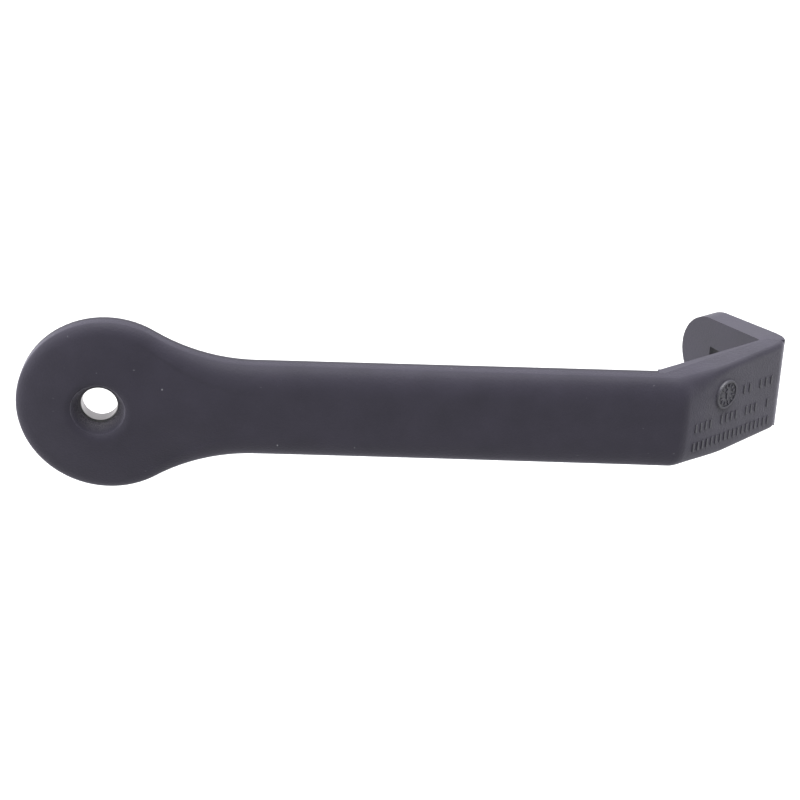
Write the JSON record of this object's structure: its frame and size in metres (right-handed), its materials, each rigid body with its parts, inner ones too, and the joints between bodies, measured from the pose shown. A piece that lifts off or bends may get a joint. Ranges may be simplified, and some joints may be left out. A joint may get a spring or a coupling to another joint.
{
  "type": "car interior pull handle",
  "caption": "Slim soft-touch pull handle: a round screw eye with a steel swivel sleeve, a flat bar, and a bent leg ending in a hooked ear with a square hole.",
  "frame": {"origin": "on the axis of the screw eye, at the sleeve's rear face, which rests on the body panel", "axes": "+X along the bar from the eye to the bend, +Y along the eye's axis into the car body (the front faces -Y), +Z across the bar's width"},
  "size_m": [0.1515, 0.043, 0.0352],
  "materials": {
    "soft_touch": "fine matte soft-touch coating, near black with a slight violet cast",
    "carrier_plastic": "as-moulded satin black plastic",
    "back_plastic": "fine matte moulded plastic, near black",
    "strip_steel": "blanked strip, lightly oiled",
    "sleeve_steel": "turned, zinc plated",
    "bush_plastic": "natural acetal",
    "ring_steel": "spring steel, phosphated",
    "seal_rubber": "black rubber"
  },
  "bodies": {
    "sleeve": {"eye_sleeve": "sleeve_steel", "retaining_ring": "ring_steel", "sleeve_ring": "seal_rubber"},
    "handle": {"front_cover": "soft_touch", "carrier": "carrier_plastic", "back_cover": "back_plastic", "core_strip": "strip_steel", "pivot_bush": "bush_plastic"}
  },
  "joints": [
    {"name": "eye_swivel", "type": "hinge", "parent": "sleeve", "child": "handle", "pos_m": [0, 0, 0], "axis": [0, 1, 0], "continuous": true}
  ]
}
